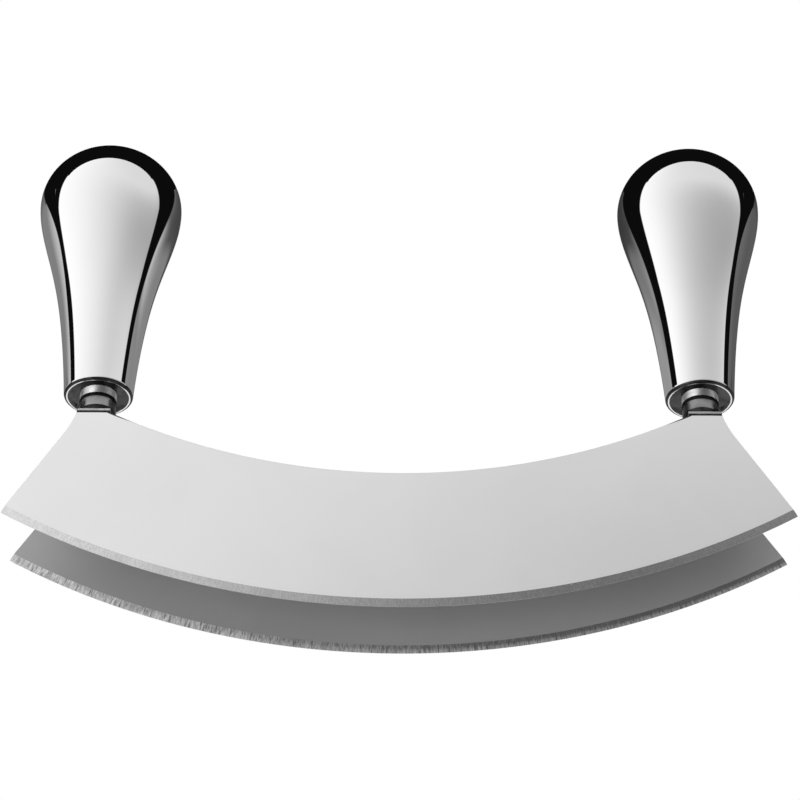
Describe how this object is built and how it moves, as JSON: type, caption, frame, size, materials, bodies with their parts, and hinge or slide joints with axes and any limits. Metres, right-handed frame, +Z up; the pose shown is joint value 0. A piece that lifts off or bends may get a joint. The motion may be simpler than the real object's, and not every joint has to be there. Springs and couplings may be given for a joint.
{
  "type": "mezzaluna",
  "caption": "Mezzaluna with two parallel curved chopping blades under two upright hollow polished steel handles, for rocking over herbs on a board.",
  "frame": {"origin": "lowest point of both cutting edges, midway between the blades", "axes": "+X along the blades to the right handle, +Y from the front blade to the rear blade, +Z up along the handles"},
  "size_m": [0.24, 0.046, 0.1785],
  "materials": {
    "blade_steel": "satin ground stainless steel, coarser on the ground edge",
    "handle_steel": "mirror polished stainless steel",
    "fastener_steel": "plain stainless steel"
  },
  "bodies": {
    "root": {"front_blade": "blade_steel", "rear_blade": "blade_steel", "left_handle_shell": "handle_steel", "right_handle_shell": "handle_steel", "left_handle_plug": "handle_steel", "right_handle_plug": "handle_steel", "left_washer": "fastener_steel", "right_washer": "fastener_steel", "left_screw": "fastener_steel", "right_screw": "fastener_steel"}
  },
  "joints": []
}
